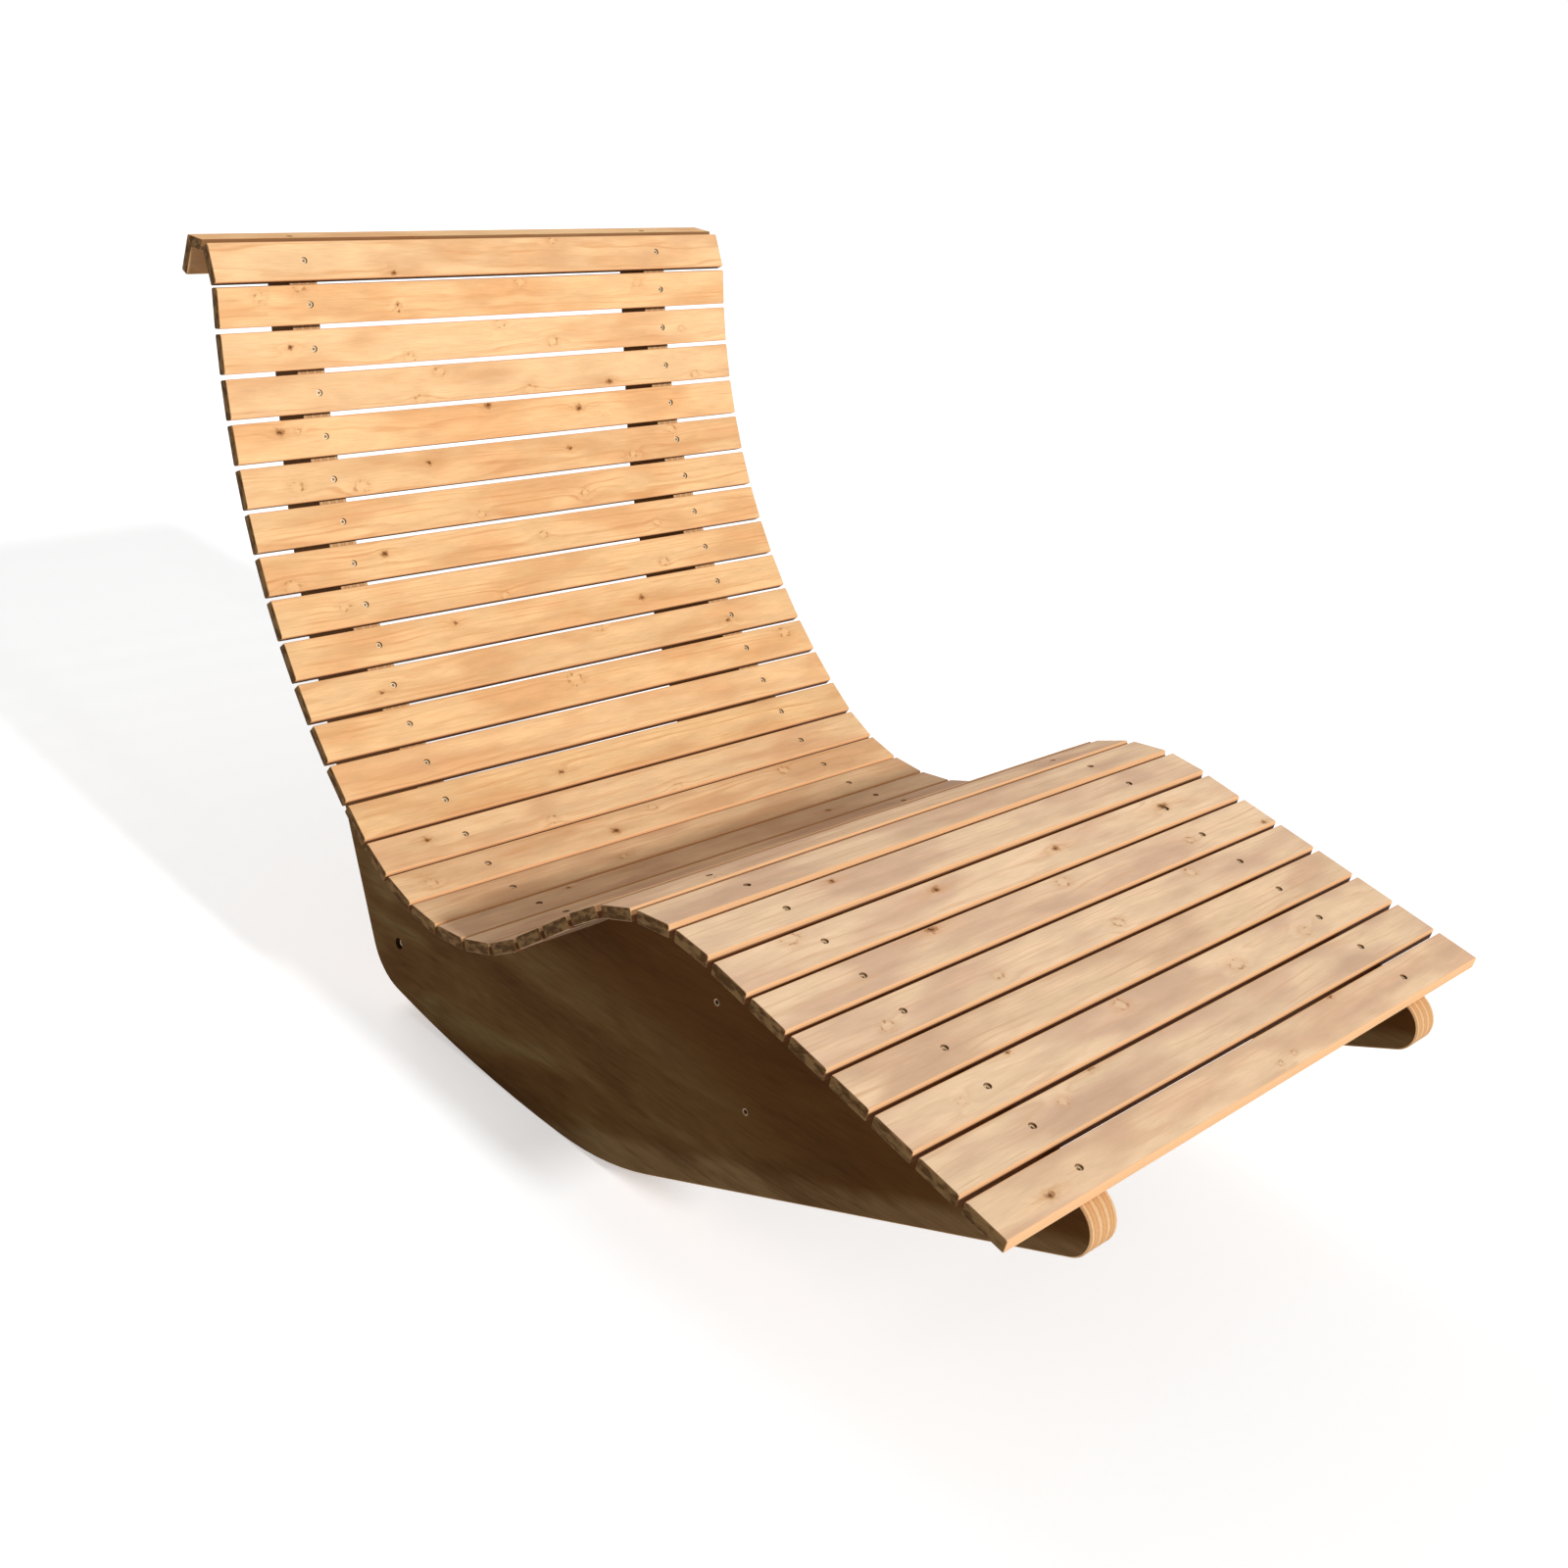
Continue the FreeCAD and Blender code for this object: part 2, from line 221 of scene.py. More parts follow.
spruce = {
    # noises, with a Scale of one over their real size
    "years": {"Scale": 1 / (2.6 * mm), "Detail": 2.0, "noise_dimensions": "1D"},
    # a real fibre is 0.05 mm wide, too fine to show, so it is drawn coarser
    "fibres": {"Scale": 1 / (1.0 * mm), "Detail": 3.0, "Roughness": 0.6},
    "blotches": {"Scale": 1 / (26 * mm), "Detail": 4.0, "Roughness": 0.6},
    "clouds": {"Scale": 0.45 / (26 * mm), "Detail": 2.0},
    "bends": {"Scale": 1 / (30 * mm), "Detail": 2.5},
    "rag": {"Scale": 1 / (6 * mm), "Detail": 3.0},
    "rimBreaks": {"Scale": 1 / (8 * mm), "Detail": 1.0},
    "sawn": {"Scale": 1 / (7 * mm), "Detail": 2.5, "Roughness": 0.5},
    # how fast each pattern changes along the board, as a share of its rate across it
    "bendsAlong": 0.11, "fibresAlong": 0.03, "patchesAlong": 0.3,
    "knotsAlong": 0.75, "tailsAlong": 0.16,
    "sawnAcross": 0.45,            # and this one across the end grain
    "knots": {"Dark": 3, "Faint": 4},              # the most that one board has
    "bendDepth": 13 * mm,          # how far the year lines bend
    "knotSwing": 3.2 * mm, "swingFade": 0.13,      # and how far they give way round a knot
    "ragDepth": 8.4 * mm,          # how ragged a knot's outline is
    "edgeLines": 0.6,              # how much of the lines shows on the edges
    "relief": {"Strength": 0.35, "Distance": 0.08 * mm}, "fibreRelief": 0.5,
    "shine": 0.04,                 # glaze has soaked in, so the wood hardly reflects
    # shades of the wood, its patches and its planed edges, at the head and at the feet; the
    # edges' warmer tone and the feet's paler, cooler tones are painted light
    "tones": {
        "Early wood": ("#fdcf98", "#fbd9b3"), "Late wood": ("#d2925a", "#d9ad86"),
        "Patch": ("#edb57e", "#e0b99b"), "Edge": ("#f4bd88", "#f6c492"),
    },
    "knot": "#9c6434", "knotCore": "#5a341a", "halo": "#cf9660",
    "endDark": "#583c20", "endPale": "#8c6c45", "endRim": "#a67d52",
    "gap": "#653719",              # painted shade deep in the gaps between slats
    "hole": "#6b4426",             # painted shade in countersinks and under the slats
    # fades: where each one starts and ends, and the share that it starts and ends with
    "lateWood": (0.46, 0.74, 0.0, 1.0),            # these by the level of a noise
    "patches": (0.41, 0.63, 0.0, 0.85),
    "lineStrength": (0.36, 0.64, 0.06, 0.52),
    "fibreShade": (0.30, 0.72, -0.14, 0.32),
    "uneven": (0.30, 0.70, 0.91, 1.05),
    "streaks": (0.35, 0.65, 0.45, 1.0),
    "rimBroken": (0.50, 0.64, 0.0, 1.0),
    "endPatches": (0.36, 0.64, 0.0, 1.0),
    "endYears": (0.40, 0.70, 0.10, -0.15),
    "satin": (0.25, 0.75, 0.56, 0.74),             # roughness of the smoothest and roughest wood
    "knotTail": (2.4, 0.3, 0.0, 0.35),             # these by the distance from a knot, in radii
    "knotHalo": (2.6, 0.9, 0.0, 0.34),
    "darkDisc": (1.15, 0.7, 0.0, 0.6),
    "faintDisc": (1.2, 0.5, 0.0, 0.45),
    "knotRim": (0.45, 0.05, 0.0, 0.6),
    "knotHeart": (0.62, 0.3, 0.0, 0.8),
    "planedEdge": (2.4 * mm, 1.0 * mm, 0.0, 1.0),  # these by the depth into the board
    "gapShadeDepth": (0.0, 2.4 * mm, 0.0, 0.9),
    "underside": (0.6 * mm, 0.1 * mm, 0.0, 0.42),
    "sunkInFace": (0.1 * mm, 0.45 * mm, 0.0, 0.8),
    "offBack": (0.4 * mm, 1.2 * mm, 0.0, 1.0),
    "offEdge": (2.8 * mm, 3.6 * mm, 0.0, 1.0),
    "endRimDepth": (1.2 * mm, 0.3 * mm, 0.0, 0.55),
    "endFacing": (0.6, 0.9, 0.0, 1.0),             # by how square the surface is to the length
    # each board's own draw: its place in the tree in mm (across, along and from the pith), its
    # shade, and how much paler it is
    "cutFrom": ((-60, 60), (0, 9000), (25, 110)), "shades": (0.94, 1.0), "palenesses": (-0.12, 0.2),
    "noKnot": (9000, 9000, 1),     # a knot far off the board, in mm
}


def nearestKnot(tree, given, point, kind, alongRate):
    # distance to the nearest knot of a kind, in its radii; each knot is (across, along, radius)
    nearest = None
    for number in range(spruce["knots"][kind]):
        knot = add(tree, "SeparateXYZ", given["%s %d" % (kind, number + 1)]).node.outputs
        across = add(tree, "Math", point["X"], knot["X"], operation="SUBTRACT")
        along = add(tree, "Math", point["Y"], knot["Y"], operation="SUBTRACT")
        along = add(tree, "Math", along, alongRate, operation="MULTIPLY")
        away = add(tree, "VectorMath", add(tree, "CombineXYZ", across, along), operation="LENGTH")
        radii = add(tree, "Math", away, knot["Z"], operation="DIVIDE")
        if nearest is None:
            nearest = radii
        else:
            nearest = add(tree, "Math", nearest, radii, operation="MINIMUM")
    return nearest


def makeSpruceGrain():
    tree = bpy.data.node_groups.new("spruce grain", "ShaderNodeTree")
    sockets = [(name, "Vector") for name in ("Place", "Offset")]
    sockets += [(name, "Float") for name in ("Half width", "Thickness")]
    sockets += [(name, "Float") for name in ("Gap before", "Gap after", "Gap from")]
    for kind, most in spruce["knots"].items():
        sockets += [("%s %d" % (kind, number + 1), "Vector") for number in range(most)]
    sockets += [(tone, "Color") for tone in spruce["tones"]]
    for name, kind in sockets:
        tree.interface.new_socket(name, in_out="INPUT", socket_type="NodeSocket" + kind)
    for name, kind in (("Colour", "Color"), ("Roughness", "Float"), ("Normal", "Vector")):
        tree.interface.new_socket(name, in_out="OUTPUT", socket_type="NodeSocket" + kind)
    given = tree.nodes.new("NodeGroupInput").outputs
    place = given["Place"]
    board = add(tree, "SeparateXYZ", place).node.outputs       # X across it, Z up from its back

    # knots are ragged: the distance to them is measured from a point that a noise pushes about
    push = add(tree, "TexNoise", Vector=place, **spruce["rag"]).node.outputs["Color"]
    push = add(tree, "VectorMath", push, (0.5, 0.5, 0.5), operation="SUBTRACT")
    push = add(tree, "VectorMath", push, spruce["ragDepth"], operation="SCALE")
    ragged = add(tree, "VectorMath", place, push, operation="ADD")
    ragged = add(tree, "SeparateXYZ", ragged).node.outputs
    dark = nearestKnot(tree, given, ragged, "Dark", spruce["knotsAlong"])
    faint = nearestKnot(tree, given, ragged, "Faint", spruce["knotsAlong"])
    darkTail = nearestKnot(tree, given, ragged, "Dark", spruce["tailsAlong"])
    near = add(tree, "Math", dark, faint, operation="MINIMUM")

    # the year lines: uneven rings round a pith outside the board, bent slowly, pushed off by knots
    inTree = add(tree, "VectorMath", place, given["Offset"], operation="ADD")
    slow = add(tree, "Mapping", Vector=inTree, Scale=(1, spruce["bendsAlong"], 1))
    bends = add(tree, "TexNoise", Vector=slow, **spruce["bends"])
    flat = add(tree, "VectorMath", inTree, (1, 0, 1), operation="MULTIPLY")
    fromPith = add(tree, "VectorMath", flat, operation="LENGTH")
    bent = add(tree, "Math", bends, spruce["bendDepth"], fromPith, operation="MULTIPLY_ADD")
    bell = add(tree, "Math", near, 2.0, operation="POWER")
    bell = add(tree, "Math", bell, -spruce["swingFade"], operation="MULTIPLY")
    bell = add(tree, "Math", bell, operation="EXPONENT")
    swung = add(tree, "Math", bell, spruce["knotSwing"], bent, operation="MULTIPLY_ADD")
    years = add(tree, "TexNoise", W=swung, **spruce["years"])
    late = add(tree, "MapRange", years, *spruce["lateWood"], **smooth)
    fine = add(tree, "Mapping", Vector=inTree, Scale=(1, spruce["fibresAlong"], 1))
    fibres = add(tree, "TexNoise", Vector=fine, **spruce["fibres"])

    # glaze and light lie unevenly in soft patches, longer than they are wide
    wide = add(tree, "Mapping", Vector=inTree, Scale=(1, spruce["patchesAlong"], 1))
    blotches = add(tree, "TexNoise", Vector=wide, **spruce["blotches"])
    clouds = add(tree, "TexNoise", Vector=wide, **spruce["clouds"]).node.outputs["Color"]
    clouds = add(tree, "SeparateXYZ", clouds).node.outputs["Y"]
    patchy = add(tree, "MapRange", clouds, *spruce["patches"], **smooth)
    shade = add(tree, "Mix", patchy, given["Early wood"], given["Patch"], **ofColours)
    strength = add(tree, "MapRange", blotches, *spruce["lineStrength"], **smooth)
    lines = add(tree, "Math", late, strength, operation="MULTIPLY")
    fibreShade = add(tree, "MapRange", fibres, *spruce["fibreShade"])
    lateShare = add(tree, "Math", lines, fibreShade, operation="ADD")
    shade = add(tree, "Mix", lateShare, shade, given["Late wood"], **ofColours)
    uneven = add(tree, "MapRange", blotches, *spruce["uneven"], **smooth)
    shade = add(tree, "VectorMath", shade, uneven, operation="SCALE")

    # a knot has a tail each way along the grain and a halo, both streaky
    streaky = add(tree, "MapRange", fibres, *spruce["streaks"], **smooth)
    for distance, fade in ((darkTail, "knotTail"), (near, "knotHalo")):
        share = add(tree, "MapRange", distance, *spruce[fade], **smooth)
        share = add(tree, "Math", share, streaky, operation="MULTIPLY")
        shade = add(tree, "Mix", share, shade, colour(spruce["halo"]), **ofColours)

    # then its disc, a broken dark rim, and a heart if it is a dark one
    share = add(tree, "MapRange", dark, *spruce["darkDisc"], **smooth)
    shade = add(tree, "Mix", share, shade, colour(spruce["knot"]), **ofColours)
    share = add(tree, "MapRange", faint, *spruce["faintDisc"], **smooth)
    shade = add(tree, "Mix", share, shade, given["Early wood"], **ofColours)
    fromRim = add(tree, "Math", near, 1.0, operation="SUBTRACT")
    fromRim = add(tree, "Math", fromRim, operation="ABSOLUTE")
    share = add(tree, "MapRange", fromRim, *spruce["knotRim"], **smooth)
    broken = add(tree, "TexNoise", Vector=place, **spruce["rimBreaks"])
    broken = add(tree, "MapRange", broken, *spruce["rimBroken"], **smooth)
    share = add(tree, "Math", share, broken, operation="MULTIPLY")
    shade = add(tree, "Mix", share, shade, colour(spruce["knot"]), **ofColours)
    share = add(tree, "MapRange", dark, *spruce["knotHeart"], **smooth)
    shade = add(tree, "Mix", share, shade, colour(spruce["knotCore"]), **ofColours)

    # painted light: the edges are warmer where the low warm light falls on them; painted shade:
    # they darken further down a gap
    fromEdge = add(tree, "Math", board["X"], operation="ABSOLUTE")
    fromEdge = add(tree, "Math", given["Half width"], fromEdge, operation="SUBTRACT")
    fromFace = add(tree, "Math", given["Thickness"], board["Z"], operation="SUBTRACT")
    edgeLate = add(tree, "Math", lateShare, spruce["edgeLines"], operation="MULTIPLY")
    # the edge tone is painted warm light
    edge = add(tree, "Mix", edgeLate, given["Edge"], given["Late wood"], **ofColours)
    pastStart = add(tree, "Math", fromFace, given["Gap from"], operation="SUBTRACT")
    deep = add(tree, "MapRange", pastStart, *spruce["gapShadeDepth"], **smooth)
    headSide = add(tree, "Math", board["X"], 0.0, operation="LESS_THAN")
    gap = add(tree, "MapRange", headSide, 0.0, 1.0, given["Gap after"], given["Gap before"])
    deep = add(tree, "Math", deep, gap, operation="MULTIPLY")
    edge = add(tree, "Mix", deep, edge, colour(spruce["gap"]), **ofColours)
    planed = add(tree, "MapRange", fromEdge, *spruce["planedEdge"], **smooth)
    shade = add(tree, "Mix", planed, shade, edge, **ofColours)

    # painted shade: the underside is browner, and so are the countersinks inside
    under = add(tree, "MapRange", board["Z"], *spruce["underside"], **smooth)
    shade = add(tree, "Mix", under, shade, colour(spruce["hole"]), **ofColours)
    inside = add(tree, "MapRange", fromFace, *spruce["sunkInFace"], **smooth)
    for depth, fade in ((board["Z"], "offBack"), (fromEdge, "offEdge")):
        share = add(tree, "MapRange", depth, *spruce[fade], **smooth)
        inside = add(tree, "Math", inside, share, operation="MULTIPLY")
    shade = add(tree, "Mix", inside, shade, colour(spruce["hole"]), **ofColours)

    # end grain drinks more glaze, least of all at its rim
    sawnAt = add(tree, "Mapping", Vector=inTree, Scale=(spruce["sawnAcross"], 1, 1))
    sawn = add(tree, "TexNoise", Vector=sawnAt, **spruce["sawn"])
    sawn = add(tree, "MapRange", sawn, *spruce["endPatches"], **smooth)
    endYears = add(tree, "MapRange", years, *spruce["endYears"])
    share = add(tree, "Math", sawn, endYears, operation="ADD")
    endDark, endPale = colour(spruce["endDark"]), colour(spruce["endPale"])
    ends = add(tree, "Mix", share, endDark, endPale, **ofColours)
    toRim = add(tree, "Math", fromFace, board["Z"], operation="MINIMUM")
    toRim = add(tree, "Math", fromEdge, toRim, operation="MINIMUM")
    share = add(tree, "MapRange", toRim, *spruce["endRimDepth"], **smooth)
    ends = add(tree, "Mix", share, ends, colour(spruce["endRim"]), **ofColours)
    normal = add(tree, "NewGeometry").node.outputs["Normal"]
    facing = add(tree, "SeparateXYZ", normal).node.outputs["Y"]
    facing = add(tree, "Math", facing, operation="ABSOLUTE")
    facing = add(tree, "MapRange", facing, *spruce["endFacing"], **smooth)
    shade = add(tree, "Mix", facing, shade, ends, **ofColours)

    roughness = add(tree, "MapRange", fibres, *spruce["satin"])
    relief = add(tree, "Math", fibres, spruce["fibreRelief"], lines, operation="MULTIPLY_ADD")
    relief = add(tree, "Bump", Height=relief, **spruce["relief"])
    result = tree.nodes.new("NodeGroupOutput").inputs
    for name, value in (("Colour", shade), ("Roughness", roughness), ("Normal", relief)):
        tree.links.new(value, result[name])
    return tree


spruceGrain = makeSpruceGrain()


def spruceMaterial(name, half, thickness, paleness, wearAndShade=1.0, knots=((), ()), gaps=(0, 0, 0),
                   middle=None, lean=0.0):
    # one board's own cut of the tree, with its dark and faint knots as (across, along, radius)
    # in mm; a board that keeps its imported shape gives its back's middle and how far it leans
    material, tree = newMaterial("glazed spruce, " + name)
    place = add(tree, "TexCoord").node.outputs["Object"]
    if middle is not None:
        seat = {"vector_type": "TEXTURE", "Location": middle, "Rotation": (0, lean, 0)}
        place = add(tree, "Mapping", Vector=place, **seat)
    own = dict(zip(("Gap_before", "Gap_after", "Gap_from"), gaps))
    own["Offset"] = [draw.uniform(*reach) * mm for reach in spruce["cutFrom"]]
    for (kind, most), found in zip(spruce["knots"].items(), knots):
        for number in range(most):
            knot = found[number] if number < len(found) else spruce["noKnot"]
            own["%s_%d" % (kind, number + 1)] = [v * mm for v in knot]
    shade = draw.uniform(*spruce["shades"]) * wearAndShade
    paleness = min(max(paleness + draw.uniform(*spruce["palenesses"]), 0), 1)
    for tone, (honey, feet) in spruce["tones"].items():
        mixed = colour(between(honey, feet, paleness))
        own[tone.replace(" ", "_")] = (*(v * shade for v in mixed[:3]), 1)
    grain = add(tree, "Group", Place=place, Half_width=half, Thickness=thickness,
                node_tree=spruceGrain, **own).node.outputs
    shader = add(tree, "BsdfPrincipled", Base_Color=grain["Colour"], Roughness=grain["Roughness"],
                 Normal=grain["Normal"], Specular_IOR_Level=spruce["shine"])
    add(tree, "OutputMaterial", Surface=shader)
    return material


# slats: a planed board with rounded long arrises, eased ends and two countersinks

slat = {
    "arris": 2.2 * mm,
    "backArris": 3.5 * mm,         # the slat behind the head is rounded more
    "mitreArris": 0.5 * mm,
    "arrisSteps": 5,
    "endArris": 1.8 * mm,
    "endSteps": 4,
    "leastRadius": 0.05 * mm,      # what is left of an arris at the very end
    "crisp": 30,                   # degrees; an edge sharper than this stays crisp
    "probe": 0.3135,               # a cheek's middle, to tell the slat's inner face
    "onEnd": 0.05 * mm,            # points this near the end belong to it
    "cutBack": 0.2 * mm,           # a corner with no point this near it is a rounded one
    "countersink": [               # radius and depth in mm, with the wood pressed in round the head
        (6.2, -0.2), (5.3, 0.02), (4.85, 0.12), (4.6, 0.32), (4.45, 1.2), (4.3, 2.2), (4.15, 3.2),
        (2.6, 4.7), (2.6, 18.0),
    ],
    "countersinkSides": 32,
    "gapFrom": 3.8 * mm,           # how far down a slat's edge the light still gets
    "kneeRow": 24, "kneeRows": 2.0, "kneeGap": 3.4 * mm,       # further over the knee
    "seatRow": 20.5, "seatRows": 2.2, "seatWearAndShade": 0.28,        # the seat is darker from use, and painted darker as shade from the knee
    "firstRow": 1, "lastRow": 33,  # the outer edges of these two face no neighbour
    # the feet's paler, cooler tone is painted light, the cooler light that falls on the foot slats
    "honeyRows": 13,               # rows from the head that keep the full honey tone
    "paleRows": 20,                # from here on the tone is the feet's
}

# knots by slat, read off the photograph: (across, along, radius) in mm from the slat's middle
darkKnots = {
    1: [(21, -177, 4)], 2: [(5, -175, 2.5), (15, -174, 2)], 3: [(-4, -350, 4)],
    4: [(18, 195, 4.5)], 5: [(-12, -383, 5), (-23, -39, 5.5), (-6, 128, 5)],
    6: [(-6, 98, 3.5), (-8, -157, 4)], 8: [(-7, -262, 4.5)],
    10: [(-11, -184, 3.5), (4, 154, 4.5)], 11: [(8, 302, 4), (8, -335, 3)], 14: [(5, -122, 4)],
    15: [(-7, -370, 4)], 16: [(9, -105, 5)], 18: [(-16, -255, 3.5), (1, 210, 3.5)],
    26: [(-16, -229, 3.5)], 27: [(-5, 312, 7), (-4, 87, 5), (-11, -124, 5)],
    28: [(21, 429, 3.5), (-22, -185, 6)], 31: [(-24, -256, 3)], 32: [(-27, -190, 5)],
    33: [(9, -369, 4.5), (-25, 184, 3.5)],
}
faintKnots = {
    1: [(-21, 112, 5)], 2: [(-13, -389, 6), (-25, -328, 6), (-20, 39, 6), (-12, 265, 5)],
    3: [(21, -163, 6), (-21, -2, 6), (10, 93, 6), (3, 353, 4)],
    4: [(22, -152, 7), (20, 41, 7), (19, 373, 5), (-17, -116, 6)],
    5: [(-11, -355, 3), (11, 177, 3)],
    6: [(5, -372, 7), (16, -274, 8), (-18, 303, 7), (15, 218, 5)], 7: [(17, -87, 5), (5, 108, 5)],
    8: [(1, 10, 5), (9, 231, 5), (20, -412, 8)], 9: [(-1, -346, 6), (13, 222, 6), (23, -87, 5)],
    11: [(-23, 56, 4)], 12: [(-11, -23, 9), (-12, 404, 8)], 15: [(16, -179, 6), (22, 46, 5)],
    16: [(5, -405, 6), (-13, -22, 5), (-11, 237, 7)], 17: [(10, -136, 5)], 19: [(8, 312, 5)],
    24: [(21, -315, 5)], 27: [(-21, -347, 8)], 28: [(-14, 41, 7), (1, 284, 5)],
    29: [(8, -171, 5), (10, -346, 6), (10, 46, 6), (-15, 224, 6)],
    31: [(3, -355, 4), (-15, -75, 7), (6, 122, 8), (9, 268, 6)], 32: [(-7, -257, 5)],
    33: [(12, 54, 3), (14, 21, 3)],
}


def sectionCorners(node):
    # the four corners of a slat's section in X-Z, where its four long faces would meet
    points = [v.co for v in node.data.vertices]
    endY = max(p.y for p in points)
    onEnd = [p for p in points if p.y > endY - slat["onEnd"]]
    flat = sorted({(round(p.x, 6), round(p.z, 6)) for p in onEnd})
    hull = []
    for order in (flat, flat[::-1]):
        half = []
        for x, z in order:
            while len(half) > 1:
                (aX, aZ), (bX, bZ) = half[-2:]
                if (bX - aX) * (z - aZ) > (bZ - aZ) * (x - aX):
                    break
                half.pop()
            half.append((x, z))
        hull += half[:-1]
    sides = list(zip(hull, hull[1:] + hull[:1]))
    longest = sorted(sides, key=lambda side: -math.dist(*side))[:4]
    faces = [side for side in sides if side in longest]
    corners = []
    for (a, b), (c, d) in zip(faces, faces[1:] + faces[:1]):
        ux, uz, vx, vz = b[0] - a[0], b[1] - a[1], d[0] - c[0], d[1] - c[1]
        t = ((c[0] - a[0]) * vz - (c[1] - a[1]) * vx) / (ux * vz - uz * vx)
        corner = Vector((a[0] + ux * t, 0, a[1] + uz * t))
        nearest = min(math.dist((corner.x, corner.z), p) for p in hull)
        corners.append((corner, nearest > slat["cutBack"]))
    return corners, endY


def slatFrame(name):
    # a slat's own frame, X down the lounging line and Z out of its face, and its section there
    corners, endY = sectionCorners(nodes[name])
    sides = [(corners[i][0], corners[(i + 1) % 4][0]) for i in range(4)]
    wide = sorted(sides, key=lambda side: -(side[0] - side[1]).length)[:2]
    middles = [(a + b) / 2 for a, b in wide]

    def fromCheek(point):
        probe = point + Vector((0, slat["probe"], 0))
        return (nodes["cheek_left"].closest_point_on_mesh(probe)[1] - probe).length

    inner, outer = sorted(middles, key=fromCheek)
    edge = wide[middles.index(inner)]
    along = Vector((0, 1, 0))
    up = (edge[1] - edge[0]).normalized().cross(along)
    up *= math.copysign(1, up.dot(outer - inner))
    base = Matrix((along.cross(up), along, up)).transposed().to_4x4()
    base.translation = inner
    section = [(base.inverted() @ corner, rounded) for corner, rounded in corners]
    pairs = zip(section, section[1:] + section[:1])
    if sum(a.x * b.z - b.x * a.z for (a, _), (b, _) in pairs) < 0:
        section.reverse()
    return base, section, endY


def easedSection(section, arris, inset):
    # the section with its corners rounded, drawn in by an inset towards the slat's end
    outline = []
    for i, (corner, rounded) in enumerate(section):
        here = Vector((corner.x, corner.z))
        sides = []
        for other in (section[i - 1][0], section[(i + 1) % 4][0]):
            sides.append((Vector((other.x, other.z)) - here).normalized())
        half = sides[0].angle(sides[1]) / 2
        inward = (sides[0] + sides[1]).normalized()
        radius = arris if rounded else slat["mitreArris"]
        centre = here + inward * radius / math.sin(half)
        first = math.atan2(-inward.y, -inward.x) - (math.pi / 2 - half)
        reach = max(radius - inset, slat["leastRadius"])
        for step in range(slat["arrisSteps"] + 1):
            angle = first + (math.pi - 2 * half) * step / slat["arrisSteps"]
            outline.append(centre + reach * Vector((math.cos(angle), math.sin(angle))))
    return outline


screw = {
    "head": 4.0, "shank": 2.25,
    "rim": ((-0.6, 0.0), (-0.15, 0.0), (0.0, 0.12)),     # steps past the head's radius, and down
    "recess": 2.1, "recessDepth": 2.6, "recessTaper": 0.8, "lip": 0.1,
    "lobe": 0.17,                  # the six-lobed recess swells and narrows by this share
    "point": 0.15, "floor": 0.3,   # the smallest rings, at the tip and in the recess
    "sides": 36, "recessRings": 2,
    "sunk": 2.0 * mm,              # the heads sit this far below the slat's face
    # how a slat knows its own packed screws: how wide they look in its frame when they stand
    # straight, how far off its middle line they are at most, and how near its face they end
    "straight": 9 * mm, "offMiddle": 30 * mm, "nearFace": 2 * mm,
}

screwShells = shellsOf(nodes["slat_screws"])
slatScrews = []                    # (matrix with Z out of the slat's face, length) for each screw


def screwsOf(base, depth):
    # this slat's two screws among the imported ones: those that stand straight in its frame
    found = []
    for shell in screwShells:
        xs, ys, zs = zip(*(base.inverted() @ p for p in shell))
        offMiddle = abs(sum(xs) / len(xs))
        straight = max(xs) - min(xs) < screw["straight"] and offMiddle < screw["offMiddle"]
        if straight and abs(max(zs) - depth) < screw["nearFace"]:
            middle = ((max(xs) + min(xs)) / 2, (max(ys) + min(ys)) / 2, max(zs))
            found.append((base @ Matrix.Translation(middle), max(zs) - min(zs)))
    return found


def swell(row, middle, rows):
    # 1 at a row, and less with the rows away from it
    return math.exp(-((row - middle) / rows) ** 2)


def makeSlat(name, row):
    base, section, endY = slatFrame(name)
    xs, zs = [corner.x for corner, _ in section], [corner.z for corner, _ in section]
    half, depth = (max(xs) - min(xs)) / 2, max(zs)
    paleness = (row - slat["honeyRows"]) / (slat["paleRows"] - slat["honeyRows"])
    wearAndShade = 1 - slat["seatWearAndShade"] * swell(row, slat["seatRow"], slat["seatRows"])
    # whether each edge faces a neighbour, and where the painted gap shade starts down it
    before, after = slat["firstRow"] < row, slat["firstRow"] <= row < slat["lastRow"]
    opened = slat["kneeGap"] * swell(row, slat["kneeRow"], slat["kneeRows"])
    gaps = (float(before), float(after), slat["gapFrom"] + opened)
    knots = (darkKnots.get(row, ()), faintKnots.get(row, ()))
    material = spruceMaterial(name, half, depth, min(max(paleness, 0), 1), wearAndShade, knots, gaps)

    ease = slat["endArris"]
    arris = slat["backArris"] if name == "head_back_slat" else slat["arris"]
    rings = []
    for step in range(slat["endSteps"] + 1):
        angle = math.pi / 2 * step / slat["endSteps"]
        back, inset = ease * (1 - math.cos(angle)), ease * (1 - math.sin(angle))
        rings.append([(p.x, back - endY, p.y) for p in easedSection(section, arris, inset)])
    rings += [[(x, -y, z) for x, y, z in ring] for ring in rings[::-1]]
    mesh = skinned(name, rings)
    piece = replacement("softwood_" + name, mesh, material, name, base)

    cutters = []
    for place, length in screwsOf(base, depth):
        slatScrews.append((place, length))
        mesh = skinned("cutter", turned(slat["countersink"], slat["countersinkSides"]))
        cutter = linked("cutter", mesh)
        x, y, _ = (base.inverted() @ place).translation
        cutter.matrix_world = base @ Matrix.Translation((x, y, depth))
        cutters.append(cutter)
    cutAway(piece, cutters)
    smoothUnder(piece.data, slat["crisp"])


